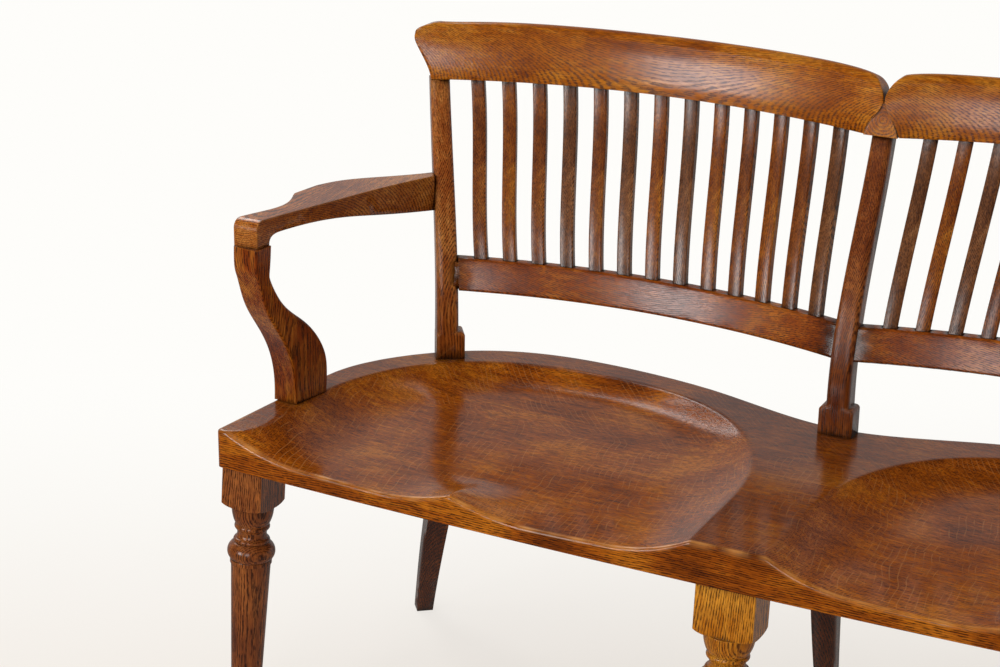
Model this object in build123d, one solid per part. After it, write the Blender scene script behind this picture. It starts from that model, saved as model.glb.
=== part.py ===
from build123d import *
import math
import os

# A chair-back settee for two in oak: one bowed plank seat with two carved saddle
# hollows, square and turned legs, three bent back posts, and a slatted, bowed back
# behind each place. X runs along the seat, Y from front to back, Z up from the floor.

# Clearances between fitted pieces, and how far a cutter runs past what it cuts
joint_clearance = 0.15
end_clearance = 0.5
overrun = 20

# Seat
seat_half_length = 702.5
seat_depth = 457
seat_front_bow = 21
seat_rim_height = 420
seat_thickness = 51
seat_side_depth = 225
seat_side_inset = 23
seat_corner_radius = 7
seat_top_round = 4
seat_bottom_round = 3
rear_outline_shares = [(0.917, 0.702), (0.793, 0.893), (0.5, 1), (0.2135, 0.910)]
rear_dip_share = 0.845
board_joint_shares = (0.31, 0.66)
tongue_width = 16
tongue_thickness = 6
tongue_rise = 6
tongue_end_inset = 127.5

# Saddle hollows: each is a bowl behind its centre line and runs out at the front
hollow_end_flat = 47.25
hollow_back_reach = 309
hollow_centre_setback = 100
hollow_depth = 32
hollow_roundness = 2.4
cove_depth_back_share = 0.56
cove_depth_side_share = 0.76
cove_width_back_share = 0.15
cove_width_side_share = 0.36
cove_steepness = 2.2
flare_width = 34
flare_start = 75
flare_steepness = 4
pommel_height = 19
pommel_offset = 8
pommel_half_width = 100
pommel_fade_start = -15
pommel_fade_end = 90
pommel_sharpness = 1.8
hollow_margin = 40
hollow_grid_step = 24

# Front legs: a square block above a turned shaft
front_leg_block = 59
centre_leg_block_width = 74
centre_leg_block_depth = 52
centre_turning_share = 1.12
front_leg_block_height = 59
centre_leg_block_height = 65
leg_shoulder_height = 5
front_leg_setback = 36
front_leg_inset = 34.5
centre_leg_setback = 10
leg_rake_angle = 4
leg_splay_angle = 1.5
leg_tenon_radius = 14
leg_tenon_length = 24
# Turning, from the block down: each row is (way down, radius) as shares of the
# turned length and of half the block, first the middle of a round, then its end
cup_start_shares = (0, 0.93)
turning_arc_shares = [
    ((0.038, 0.900), (0.083, 0.735)),
    ((0.093, 0.785), (0.105, 0.715)),
    ((0.124, 0.650), (0.143, 0.715)),
    ((0.151, 0.805), (0.162, 0.775)),
    ((0.197, 1.055), (0.240, 0.895)),
]
fillet_radius_share = 0.925
fillet_end_share = 0.257
shaft_start_shares = (0.257, 0.880)
foot_radius_share = 0.61

# Rear legs: square, tapered and swept back
rear_leg_top = 38
rear_leg_taper_shares = [(0, 1), (0.3, 0.92), (0.6, 0.81), (0.8, 0.71), (1, 0.618)]
rear_leg_inset = 167.5
rear_leg_setback = 353
rear_leg_sweep = 60
rear_leg_spread = 90
rear_leg_turn_angle = 38
sweep_start_share = 0.3

# Back posts: a shouldered foot below an S curve that leans back
post_height = 369.5
post_foot_width = 39
centre_post_foot_width = 45
post_foot_height = 38
post_foot_round = 5
post_width = 31
post_top_width = 27
post_depth = 29
post_top_depth = 24
post_front_round = 8
post_lean = 107
post_lean_start = 60
post_curve_shares = (2.1, -1.1)
post_section_shares = (0.08, 0.2, 0.34, 0.48, 0.62, 0.76, 0.88, 1)
outer_post_inset = 133
outer_post_setback = 376.5
outer_post_turn_angle = 34.25
centre_post_setback = 371
post_tenon = 18
post_tenon_length = 22
crest_tenon_width = 15
crest_tenon_depth = 12
crest_tenon_length = 22

# Lower back rails
rail_height_over_seat = 142.5
rail_height = 43.5
rail_thickness = 20
rail_lean = 12
rail_bow = 47.5
rail_end_setback = 374.5
rail_round = 3.5
rail_tenon_length = 11
rail_tenon_shoulder = 6

# Crest rails: each starts at the centre post and its outer end is turned forward
crest_height = 81
crest_arch = 5.5
crest_thickness = 27
crest_lean = 13
crest_bulge = 3
crest_bow = 45
crest_inner_setback = 459
crest_turn_angle = 0.82
crest_crown = 11
crest_ear_round = 4
# Outline of the crest's two ends seen from the front: (out from the post's centre
# line or from the settee's middle, up), as shares of the crest's height
ear_shares = [(0.09, 0), (0.18, 0.28), (0.335, 0.55), (0.40, 0.69), (0.375, 0.81), (0.23, 0.94)]
ear_top_share = (-0.06, 1)
ogee_shares = [(0.285, 0), (0.19, 0.22), (0.085, 0.42), (0.03, 0.60)]
shoulder_shares = [(0.03, 0.60), (0.022, 0.78), (0.11, 0.93), (0.34, 1)]

# Wedge and peg between the two crests
wedge_gap = 0.8
wedge_setback = 2
wedge_height_share = 0.53
wedge_apex_share = 0.06
peg_radius = 3
peg_length = 58
peg_rise = 30

# Slats
slat_count = 13
slat_width = 18.5
slat_thickness = 11
slat_edge_cut = 2
slat_foot_spread_share = 0.84
slat_top_spread_share = 0.831
slat_top_shift = 3.5
slat_setback_on_rail = 4
slat_setback_in_crest = 8
slat_housing = 8
slat_bulge = 3
slat_section_shares = (0, 0.25, 0.5, 0.75, 1)

# Arms
arm_height_over_seat = 270
arm_drop = 22
arm_front_offset = 6
arm_inner_offset = 3.7
arm_knuckle_length = 24
arm_knuckle_height = 35
arm_cove_length = 26
arm_cove_rise = 12
arm_rear_height = 50
arm_rear_run = 38.5
arm_width = 38
arm_nose = 12
# Plan of the arm's two long sides: (back from the front end, in from the front
# inner corner) as shares of the reach and of the width, positive towards the middle
arm_inner_shares = [
    (0, 0),
    (0.21, 0.237),
    (0.42, 0.54),
    (0.666, 0.895),
    (0.85, 1.26),
    (1, 1.66),
]
arm_outer_shares = [
    (0, -0.90),
    (0.131, -0.684),
    (0.233, -0.553),
    (0.35, -0.816),
    (0.45, -1.21),
    (0.55, -1.18),
    (0.695, -0.816),
    (0.83, 0.05),
    (0.93, 0.75),
    (1, 1.15),
]

# Arm supports
support_thickness = 38
support_inset = 27.5
support_setback = 122
support_turn_angle = 8
support_lean_angle = 3
support_round = 3
# Side view of the support's two edges: (back, up) as shares of its height, from the
# foot's front corner
support_front_shares = [
    (0, 0),
    (-0.034, 0.238),
    (-0.090, 0.366),
    (-0.174, 0.494),
    (-0.285, 0.668),
    (-0.340, 0.813),
    (-0.370, 1),
]
support_rear_shares = [
    (0.277, 0),
    (0.255, 0.238),
    (0.180, 0.366),
    (0.052, 0.494),
    (-0.150, 0.668),
    (-0.240, 0.813),
    (-0.240, 1),
]

# Dowels
dowel_radius = 5
dowel_length = 36
support_dowel_shares = (0.06, 0.21)

seat_underside = seat_rim_height - seat_thickness
place_centre = seat_half_length / 2
hollow_half_width = place_centre - hollow_end_flat
outer_post_x = seat_half_length - outer_post_inset
support_x = seat_half_length - support_inset
rail_top_height = seat_rim_height + rail_height_over_seat
crest_bottom_height = seat_rim_height + post_height
crest_top_height = crest_bottom_height + crest_height
arm_top_height = seat_rim_height + arm_height_over_seat


def mirrored(shape):
    """The same piece for the other end of the settee."""
    return mirror(shape, about=Plane.YZ)


def bow_radius(half_chord, bow):
    """Radius of an arc from half its chord and its rise."""
    return (half_chord**2 + bow**2) / (2 * bow)


def ring_hole(radius, length, clearance):
    """A round tool for a dowel's or tenon's hole."""
    return Cylinder(radius + clearance, length + 2 * end_clearance)


# Seat


def seat_plan():
    """Plan of the whole seat: bowed front, flared sides and a scalloped rear edge."""
    corner = (-seat_half_length, 0)
    side_end = (-seat_half_length + seat_side_inset, seat_side_depth)
    rear = [(-x * seat_half_length, y * seat_depth) for x, y in rear_outline_shares]
    dip = (0, rear_dip_share * seat_depth)
    front = ThreePointArc(corner, (0, -seat_front_bow), (seat_half_length, 0))
    side = Line(corner, side_end)
    side_run = (seat_side_inset, seat_side_depth)
    rear_edge = Spline(side_end, *rear, dip, tangents=[side_run, (1, 0)])
    left = [side, rear_edge]
    right = [mirrored(edge) for edge in left]
    return make_face([front, *left, *right])


def seat_slab():
    """The joined boards before the hollows are carved."""
    slab = Pos(0, 0, seat_underside) * extrude(seat_plan(), seat_thickness)
    upright = slab.edges().filter_by(Axis.Z).group_by(Axis.Y)[0]
    slab = fillet(upright, seat_corner_radius)
    slab = fillet(slab.faces().sort_by(Axis.Z)[-1].edges(), seat_top_round)
    return fillet(slab.faces().sort_by(Axis.Z)[0].edges(), seat_bottom_round)


def hollow_floor(across, y):
    """Height of the left hollow's floor, across counting outwards from its middle."""
    half_width = hollow_half_width
    if across > 0 and y < flare_start:
        forward = min(flare_start - y, flare_start)
        half_width += flare_width * (forward / flare_start) ** flare_steepness
    x_share = abs(across) / half_width
    y_share = max(0, y - hollow_centre_setback) / hollow_back_reach
    reach = (x_share**hollow_roundness + y_share**hollow_roundness) ** (1 / hollow_roundness)
    inward = 1 - reach
    sideways = x_share**2 / (x_share**2 + y_share**2) if reach > 0 else 1
    cove_width = cove_width_back_share + sideways * (cove_width_side_share - cove_width_back_share)
    cove_depth = cove_depth_back_share + sideways * (cove_depth_side_share - cove_depth_back_share)
    if inward > 0:
        cove = 1 - (1 - min(inward / cove_width, 1)) ** cove_steepness
        bowl = 1 - reach**2
    else:
        cove = cove_steepness * inward / cove_width
        bowl = 2 * inward
    depth = hollow_depth * (cove_depth * cove + (1 - cove_depth) * bowl)
    return seat_rim_height - depth + pommel(across, y)


def pommel(across, y):
    """Rise of the ridge in the middle of a hollow's front edge."""
    fade = (y - pommel_fade_start) / (pommel_fade_end - pommel_fade_start)
    fade = min(max(fade, 0), 1)
    ridge = max(0, 1 - abs(across - pommel_offset) / pommel_half_width) ** pommel_sharpness
    return pommel_height * ridge * (1 - fade * fade * (3 - 2 * fade))


def hollow_cutter():
    """Everything above the left hollow's floor."""
    half_span = hollow_half_width + hollow_margin
    front = -seat_front_bow - overrun
    back = hollow_centre_setback + hollow_back_reach + hollow_margin
    outer_columns = round((half_span + flare_width / 2) / hollow_grid_step)
    inner_columns = round(half_span / hollow_grid_step)
    rows = round((back - front) / hollow_grid_step)
    grid = []
    for column in range(-inner_columns, outer_columns + 1):
        across = pommel_offset + column * hollow_grid_step
        line = []
        for row in range(rows + 1):
            y = front + (back - front) * row / rows
            line.append(Vector(-place_centre - across, y, hollow_floor(across, y)))
        grid.append(line)
    floor = Face.make_surface_from_array_of_points(grid)
    return extrude(floor, amount=2 * seat_thickness, dir=(0, 0, 1))


def tongue_length():
    """The tongues stop short of the seat's ends, so they don't show."""
    return 2 * (seat_half_length - tongue_end_inset)


def board_tongues():
    """The loose tongues hidden in the seat's two long joints."""
    height = seat_underside + tongue_rise + tongue_thickness / 2
    blank = Box(tongue_length(), tongue_width, tongue_thickness)
    return [Pos(0, share * seat_depth, height) * blank for share in board_joint_shares]


def tongue_grooves():
    """Room for the tongues, a little longer and wider than they are."""
    height = seat_underside + tongue_rise + tongue_thickness / 2
    blank = Box(
        tongue_length() + 2 * end_clearance,
        tongue_width + 2 * end_clearance,
        tongue_thickness + 2 * joint_clearance,
    )
    return [Pos(0, share * seat_depth, height) * blank for share in board_joint_shares]


def seat_boards(slab):
    """The carved slab sawn back into its three boards along the glue lines."""
    first, second = (share * seat_depth for share in board_joint_shares)
    edges = [-seat_front_bow - overrun, first, second, seat_depth + overrun]
    boards = []
    for near, far in zip(edges, edges[1:]):
        zone = Box(2 * seat_half_length + overrun, far - near, 2 * seat_thickness)
        boards.append(slab & Pos(0, (near + far) / 2, seat_rim_height) * zone)
    return boards


# Front legs


def turned_outline(radius, length):
    """Half the turning's outline, from the block's underside down past the floor."""

    def mark(share):
        return (share[1] * radius, -share[0] * length)

    edges = []
    here = mark(cup_start_shares)
    edges.append(Line((0, 0), here))
    for middle, end in turning_arc_shares:
        edges.append(ThreePointArc(here, mark(middle), mark(end)))
        here = mark(end)
    ball_end = turning_arc_shares[-1][1][0]
    corners = [
        here,
        mark((ball_end, fillet_radius_share)),
        mark((fillet_end_share, fillet_radius_share)),
        mark(shaft_start_shares),
        mark((1, foot_radius_share)),
        (foot_radius_share * radius, -length - overrun),
        (0, -length - overrun),
        (0, 0),
    ]
    edges.append(Polyline(*corners))
    return make_face(edges)


def front_leg(width, depth, height, turning_share, x, y, splay):
    """A leg with its block, its turned shaft raked outwards and its round tenon."""
    turned_length = seat_underside - height
    radius = front_leg_block / 2 * turning_share
    turning = revolve(Plane.XZ * turned_outline(radius, turned_length), Axis.Z)
    block_top = height + overrun
    block = Pos(0, 0, block_top / 2) * Box(width, depth, block_top)
    half_diagonal = math.hypot(width, depth) / 2
    cup = cup_start_shares[1] * radius
    swell = half_diagonal - (half_diagonal - cup) / 4
    shoulder = make_face(
        [
            Line((0, 0), (cup, 0)),
            ThreePointArc((cup, 0), (swell, leg_shoulder_height / 2), (half_diagonal, leg_shoulder_height)),
            Polyline((half_diagonal, leg_shoulder_height), (half_diagonal, block_top), (0, block_top), (0, 0)),
        ]
    )
    block = block & revolve(Plane.XZ * shoulder, Axis.Z)
    place = Pos(x, y, seat_underside) * Rot(-leg_rake_angle, splay, 0)
    leg = place * Pos(0, 0, -height) * (block + turning)
    span = Pos(x, y, seat_underside / 2) * Box(seat_half_length, seat_half_length, seat_underside)
    leg = leg & span
    tenon_span = leg_tenon_length + overrun
    tenon = place * Pos(0, 0, leg_tenon_length - tenon_span / 2) * Cylinder(leg_tenon_radius, tenon_span)
    hole = place * ring_hole(leg_tenon_radius, 2 * leg_tenon_length, joint_clearance)
    return leg + tenon, hole


# Rear legs


def rear_leg(x, spread, turn):
    """A square leg tapering to its foot and sweeping back as it goes down."""
    sections = []
    for drop, size in rear_leg_taper_shares:
        centre_x = x + spread * drop
        sweep = sweep_start_share * drop + (1 - sweep_start_share) * drop**2
        centre_y = rear_leg_setback + rear_leg_sweep * sweep
        side = rear_leg_top * size
        level = Pos(centre_x, centre_y, seat_underside * (1 - drop))
        sections.append(level * Rot(0, 0, turn) * Rectangle(side, side))
    leg = loft(sections)
    middle = Pos(x, rear_leg_setback, seat_underside)
    tenon = middle * Pos(0, 0, (leg_tenon_length - overrun) / 2)
    tenon = tenon * Cylinder(leg_tenon_radius, leg_tenon_length + overrun)
    hole = middle * ring_hole(leg_tenon_radius, 2 * leg_tenon_length, joint_clearance)
    return leg + tenon, hole


# Back posts


def post_offset(height):
    """How far the post's centre line has leaned back at a height above the seat."""
    share = max(0, (height - post_lean_start) / (post_height - post_lean_start))
    square, cube = post_curve_shares
    return post_lean * share**2 * (square + cube * share)


def post_section(width, depth):
    """Flat back, flat sides and a rounded front."""
    half, back = width / 2, depth / 2
    turn = post_front_round
    corner = turn * (1 - math.sqrt(0.5))
    return make_face(
        [
            Polyline((-half, turn - back), (-half, back), (half, back), (half, turn - back)),
            ThreePointArc((half, turn - back), (half - corner, corner - back), (half - turn, -back)),
            Line((half - turn, -back), (turn - half, -back)),
            ThreePointArc((turn - half, -back), (corner - half, corner - back), (-half, turn - back)),
        ]
    )


def post_body(foot_width, foot_shift):
    """One post standing on the seat, leaning back along its own Y axis."""
    sections = []
    for share in post_section_shares:
        height = share * post_height
        width = post_width + share * (post_top_width - post_width)
        depth = post_depth + share * (post_top_depth - post_depth)
        sections.append(Pos(0, post_offset(height), height) * post_section(width, depth))
    shaft = loft(sections)
    foot = Pos(foot_shift, 0, post_foot_height / 2) * Box(foot_width, post_depth, post_foot_height)
    sides = foot.faces().sort_by(Axis.Z)[-1].edges().filter_by(Axis.Y)
    return fillet(sides, post_foot_round) + shaft


def post_zone(height, allowance):
    """All between a post's two sides, at a height above the seat, less an allowance."""
    width = post_width + height / post_height * (post_top_width - post_width)
    return Box(width - 2 * allowance, 2 * seat_depth, 2 * post_height)


def post_place(x, y, turn):
    """Where a post stands on the seat."""
    return Pos(x, y, seat_rim_height) * Rot(0, 0, turn)


def post_tenons(clearance, ends):
    """The square tenon into the seat and the one into the crest."""
    low = post_tenon_length + ends
    high = crest_tenon_length + ends
    low_size = post_tenon + 2 * clearance
    foot = Box(low_size, low_size, low + overrun)
    foot = Pos(0, 0, (overrun - low) / 2) * foot
    head = Box(crest_tenon_width + 2 * clearance, crest_tenon_depth + 2 * clearance, high + overrun)
    head = Pos(0, post_lean, post_height + (high - overrun) / 2) * head
    return foot, head


# Bowed rails


def bowed_band(section, half_chord, bow, end_setback, middle_x, sweep_share):
    """A rail's cross-section swung along its bow; the section's x counts backwards."""
    radius = bow_radius(half_chord, bow)
    half_angle = math.degrees(math.asin(half_chord / radius)) * sweep_share
    hub_y = end_setback + bow - radius
    profile = Plane.YZ * Pos(radius, 0) * section
    swung = revolve(profile, Axis.Z, revolution_arc=2 * half_angle)
    return Pos(middle_x, hub_y, 0) * Rot(0, 0, -half_angle) * swung


def rail_section(inset, clearance):
    """Cross-section of a lower rail, or of its tenon when inset from top and bottom."""
    low = rail_top_height - rail_height + inset - clearance
    high = rail_top_height - inset + clearance
    slope = rail_lean / rail_height
    front_low = (low - rail_top_height) * slope
    front_high = (high - rail_top_height) * slope
    cheek = inset / 2 - clearance
    outline = Polygon(
        (front_low + cheek, low),
        (front_low + rail_thickness - cheek, low),
        (front_high + rail_thickness - cheek, high),
        (front_high + cheek, high),
        align=None,
    )
    if inset > 0:
        return outline
    return fillet(outline.vertices(), rail_round)


def rail_half_chord():
    """Half the distance between the posts at the rail's height."""
    lean = post_offset(rail_top_height - seat_rim_height)
    return (outer_post_x + lean * math.sin(math.radians(outer_post_turn_angle))) / 2


def lower_rail(inset, clearance, allowance):
    """The left lower rail or its tenons, cut off square this far inside both posts."""
    half = rail_half_chord()
    bar = bowed_band(rail_section(inset, clearance), half, rail_bow, rail_end_setback, -half, 1)
    zone = post_zone(rail_height_over_seat - rail_height, allowance)
    bar = bar - post_place(-outer_post_x, outer_post_setback, outer_post_turn_angle) * zone
    bar = bar - post_place(0, centre_post_setback, 0) * zone
    return bar.solids().sort_by(SortBy.VOLUME)[-1]


def crest_half_chord():
    """Half the distance between the posts' tops."""
    return (outer_post_x + post_lean * math.sin(math.radians(outer_post_turn_angle))) / 2


def crest_section():
    """Cross-section of a crest: bulging front, crowned top, leaning back."""
    low = crest_bottom_height - overrun
    slope = crest_lean / crest_height
    start = -overrun * slope
    shoulder = crest_top_height - crest_crown
    lean = crest_lean - crest_crown * slope
    front_top = (lean, shoulder)
    back_top = (lean + crest_thickness, shoulder)
    crown = (crest_lean + crest_thickness / 2, crest_top_height)
    middle = (crest_lean / 2 - crest_bulge, crest_bottom_height + crest_height / 2)
    return make_face(
        [
            Polyline((0, crest_bottom_height), (start, low), (start + crest_thickness, low), back_top),
            ThreePointArc(back_top, crown, front_top),
            ThreePointArc(front_top, middle, (0, crest_bottom_height)),
        ]
    )


def crest_outline():
    """Front view of the left crest: flared ear, arched underside, ogee inner end."""
    height = crest_height
    ear_x = -2 * crest_half_chord()

    def ear(share):
        return (ear_x - share[0] * height, crest_bottom_height + share[1] * height)

    def inner(share):
        return (-share[0] * height, crest_bottom_height + share[1] * height)

    ear_points = [ear(share) for share in ear_shares] + [ear(ear_top_share)]
    shoulder_points = [inner(share) for share in shoulder_shares]
    ogee_points = [inner(share) for share in ogee_shares]
    arch = (-crest_half_chord(), crest_bottom_height + crest_arch)
    lift = (0, overrun)
    ear_high = tuple(Vector(*ear_points[-1]) + Vector(*lift))[:2]
    inner_high = tuple(Vector(*shoulder_points[-1]) + Vector(*lift))[:2]
    return make_face(
        [
            Spline(*ear_points),
            Polyline(ear_points[-1], ear_high, inner_high, shoulder_points[-1]),
            Spline(*reversed(shoulder_points)),
            Spline(*reversed(ogee_points)),
            ThreePointArc(ogee_points[0], arch, ear_points[0]),
        ]
    )


def crest_place():
    """Where the left crest starts, over the centre post."""
    return Pos(0, crest_inner_setback, 0) * Rot(0, 0, crest_turn_angle)


def crest_rail():
    """The left crest before its mortises are cut, its ear eased in front."""
    half = crest_half_chord()
    sweep_share = 1 + 2 * crest_thickness / half
    band = bowed_band(crest_section(), half, crest_bow, 0, -half, sweep_share)
    front_view = Plane.XZ * crest_outline()
    rail = band & extrude(front_view, amount=seat_depth, both=True)
    ear_edges = [edge for edge in rail.edges() if edge.center().X < -2 * half]
    front_edge = ShapeList(ear_edges).group_by(Axis.Y)[0]
    return crest_place() * fillet(front_edge, crest_ear_round)


def crest_wedge():
    """The block that fills the gap between the two crests over the centre post."""
    height = crest_height
    side = [(-share[0] * height + wedge_gap, share[1] * height) for share in ogee_shares]
    top = (-wedge_apex_share * height / 2, wedge_height_share * height)
    left = [point for point in side if point[1] < top[1]] + [top]
    left_edge = Spline(*left)
    right_edge = mirrored(left_edge)
    apex = (0, top[1] + wedge_apex_share * height / 2)
    face = make_face(
        [
            left_edge,
            ThreePointArc(top, apex, (-top[0], top[1])),
            right_edge,
            Line(left[0], (-left[0][0], left[0][1])),
        ]
    )
    depth = crest_thickness - 2 * wedge_setback
    block = extrude(Plane.XZ * face, amount=-depth)
    lean = math.degrees(math.atan(crest_lean / height))
    block = Pos(0, crest_inner_setback + wedge_setback, crest_bottom_height) * Rot(-lean, 0, 0) * block
    above = Pos(0, crest_inner_setback, crest_bottom_height + height / 2) * Box(height, height * 2, height)
    return block & above


def crest_peg(clearance):
    """The peg, or its hole, through the wedge into both crests."""
    centre_y = crest_inner_setback + crest_thickness / 2 + crest_lean * peg_rise / crest_height
    length = peg_length + 2 * end_clearance * (clearance > 0)
    peg = Cylinder(peg_radius + clearance, length)
    return Pos(0, centre_y, crest_bottom_height + peg_rise) * Rot(0, 90, 0) * peg


# Slats


def slat_section(clearance):
    """A flat strip whose two front edges are eased."""
    half = slat_width / 2 + clearance
    back = slat_thickness / 2 + clearance
    cut = slat_edge_cut
    return Polygon(
        (half, back),
        (-half, back),
        (-half, cut - back),
        (cut - half, -back),
        (half - cut, -back),
        (half, cut - back),
        align=None,
    )


def bow_point(half_chord, bow, end_setback, along):
    """Place and turn on a bow, at a distance along it from its middle."""
    radius = bow_radius(half_chord, bow)
    angle = along / radius
    x = -half_chord + radius * math.sin(angle)
    y = end_setback + bow - radius * (1 - math.cos(angle))
    return x, y, -angle


def slat_head(along):
    """Place and turn of a slat's top in the left crest."""
    back = slat_setback_in_crest + slat_thickness / 2
    x, y, angle = bow_point(crest_half_chord(), crest_bow, back, along)
    centre = (crest_place() * Pos(x, y, 0)).position
    return centre.X, centre.Y, angle + math.radians(crest_turn_angle)


def slat(index, clearance):
    """One slat of the left back, or the tool for its housings."""
    step = index / (slat_count - 1) - 1 / 2
    foot_back = rail_end_setback + slat_setback_on_rail + slat_thickness / 2
    foot_along = step * slat_foot_spread_share * 2 * rail_half_chord()
    foot = bow_point(rail_half_chord(), rail_bow, foot_back, foot_along)
    head_along = step * slat_top_spread_share * 2 * crest_half_chord() - slat_top_shift
    head = slat_head(head_along)
    ends = end_clearance if clearance > 0 else 0
    low = rail_top_height - slat_housing - ends
    half_share = head_along / crest_half_chord()
    underside = crest_bottom_height + crest_arch * (1 - half_share**2)
    high = underside + slat_housing + ends
    sections = []
    for share in slat_section_shares:
        x, y, angle = (a + (b - a) * share for a, b in zip(foot, head))
        y -= slat_bulge * math.sin(2 * math.pi * share)
        level = Pos(x, y, low + (high - low) * share) * Rot(0, 0, math.degrees(angle))
        sections.append(level * slat_section(clearance))
    return loft(sections)


# Arms and their supports


def arm_side_view(front, rear):
    """Side view of the arm: rounded nose, knuckle, cove and a long taper."""
    front_low = arm_top_height - arm_knuckle_height
    knuckle_end = front + arm_knuckle_length
    cove_end = knuckle_end + arm_cove_length
    top_rear = arm_top_height - arm_drop
    low_rear = top_rear - arm_rear_height
    nose_middle = arm_nose * (1 - math.sqrt(0.5))
    return make_face(
        [
            ThreePointArc(
                (front + arm_nose, arm_top_height),
                (front + nose_middle, arm_top_height - nose_middle),
                (front, arm_top_height - arm_nose),
            ),
            Polyline((front, arm_top_height - arm_nose), (front, front_low), (knuckle_end, front_low)),
            Spline(
                (knuckle_end, front_low),
                (cove_end, front_low + arm_cove_rise),
                (rear, low_rear),
                tangents=[(0, 1), (rear - front, -arm_rear_height)],
            ),
            Polyline((rear, low_rear), (rear, top_rear), (front + arm_nose, arm_top_height)),
        ]
    )


def arm_body():
    """The left arm: a side view and a plan cut from one block."""
    front = support_setback + support_front_shares[-1][0] * support_height() + arm_front_offset
    rear = outer_post_setback + arm_rear_run
    head_x = support_x - support_height() * math.tan(math.radians(support_lean_angle))

    def place(share):
        return (share[1] * arm_width - head_x + arm_inner_offset, front + share[0] * (rear - front))

    inner = [place(share) for share in arm_inner_shares]
    outer = [place(share) for share in arm_outer_shares]
    plan = make_face([Spline(*inner), Spline(*outer), Line(inner[0], outer[0]), Line(inner[-1], outer[-1])])
    across = extrude(Plane.YZ * arm_side_view(front, rear), amount=seat_half_length, both=True)
    upright = extrude(plan, amount=arm_top_height + overrun)
    return across & upright


def support_place():
    """Where the left support stands: turned to the seat's side and leaning in."""
    return Pos(-support_x, support_setback, seat_rim_height) * Rot(0, support_lean_angle, -support_turn_angle)


def support_height():
    """From the seat to the underside of the arm's knuckle."""
    return arm_top_height - arm_knuckle_height - seat_rim_height


def arm_support():
    """The left support: a curved board, its ends trimmed level."""
    height = support_height()

    def mark(share):
        return (share[0] * height, share[1] * height)

    front = [mark(share) for share in support_front_shares]
    rear = [mark(share) for share in support_rear_shares]
    low = -overrun
    high = height + overrun
    outline = make_face(
        [
            Spline(*front, tangents=[(0, 1), (0, 1)]),
            Polyline(front[-1], (front[-1][0], high), (rear[-1][0], high), rear[-1]),
            Spline(*rear, tangents=[(0, 1), (0, 1)]),
            Polyline(front[0], (front[0][0], low), (rear[0][0], low), rear[0]),
        ]
    )
    board = extrude(Plane.YZ * outline, amount=support_thickness / 2, both=True)
    long_edges = [edge for edge in board.edges() if edge.length > 2 * support_thickness]
    board = support_place() * fillet(long_edges, support_round)
    zone = Pos(-support_x, support_setback, seat_rim_height + height / 2)
    return board & zone * Box(seat_depth, seat_depth, height)


def support_dowels(clearance):
    """Two dowels under the left support and one between it and the arm."""
    height = support_height()
    length = dowel_length + 2 * end_clearance * (clearance > 0)
    pin = Cylinder(dowel_radius + clearance, length)
    feet = [support_place() * Pos(0, share * height, 0) * pin for share in support_dowel_shares]
    crown = (support_front_shares[-1][0] + support_rear_shares[-1][0]) / 2 * height
    head = support_place() * Pos(0, crown, height) * pin
    return feet, head


def arm_dowel(clearance):
    """The dowel between the left arm and the outer post."""
    height = arm_top_height - arm_drop - arm_rear_height / 2
    lean = post_offset(height - seat_rim_height)
    turn = math.radians(outer_post_turn_angle)
    x = -outer_post_x - lean * math.sin(turn) - post_width / 2 * math.cos(turn)
    y = outer_post_setback + lean * math.cos(turn) - post_width / 2 * math.sin(turn)
    length = dowel_length / 2 + 2 * end_clearance * (clearance > 0)
    pin = Cylinder(dowel_radius + clearance, length)
    return Pos(x, y, height) * Rot(0, 0, outer_post_turn_angle) * Rot(0, 90, 0) * pin


# Putting the settee together

pieces = {}

front_x = -seat_half_length + front_leg_inset
leg_left, hole_left = front_leg(
    front_leg_block,
    front_leg_block,
    front_leg_block_height,
    1,
    front_x,
    front_leg_setback,
    leg_splay_angle,
)
leg_centre, hole_centre = front_leg(
    centre_leg_block_width,
    centre_leg_block_depth,
    centre_leg_block_height,
    centre_turning_share,
    0,
    centre_leg_setback,
    0,
)
rear_x = -seat_half_length + rear_leg_inset
rear_left, rear_hole_left = rear_leg(rear_x, -rear_leg_spread, rear_leg_turn_angle)
rear_centre, rear_hole_centre = rear_leg(0, 0, 0)

foot_shift = (post_foot_width - post_width) / 2
outer_place = post_place(-outer_post_x, outer_post_setback, outer_post_turn_angle)
centre_place = post_place(0, centre_post_setback, 0)
outer_plain = outer_place * post_body(post_foot_width, foot_shift)
centre_plain = centre_place * post_body(centre_post_foot_width, 0)

tenon_foot, tenon_head = post_tenons(0, 0)
room_foot, room_head = post_tenons(joint_clearance, end_clearance)
outer_post = outer_plain + outer_place * tenon_foot + outer_place * tenon_head
centre_post = centre_plain + centre_place * tenon_foot + centre_place * tenon_head

# Each lower rail's shoulders stop at the sides of its posts; its tenons run on inside
rail_tenons = lower_rail(rail_tenon_shoulder, 0, rail_tenon_length)
rail_room = lower_rail(rail_tenon_shoulder, joint_clearance, rail_tenon_length + end_clearance)
rail_left = lower_rail(0, 0, 0) + rail_tenons
outer_post -= rail_room
centre_post = centre_post - rail_room - mirrored(rail_room)

peg = crest_peg(0)
peg_room = crest_peg(joint_clearance)
wedge = crest_wedge() - centre_place * room_head - peg_room
crest_left = crest_rail() - outer_place * room_head - peg_room

for index in range(slat_count):
    number = f"{index + 1:02d}"
    left_slat = slat(index, 0)
    room = slat(index, joint_clearance)
    rail_left -= room
    crest_left -= room
    pieces[f"slat_left_{number}"] = left_slat
    pieces[f"slat_right_{number}"] = mirrored(left_slat)

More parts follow.
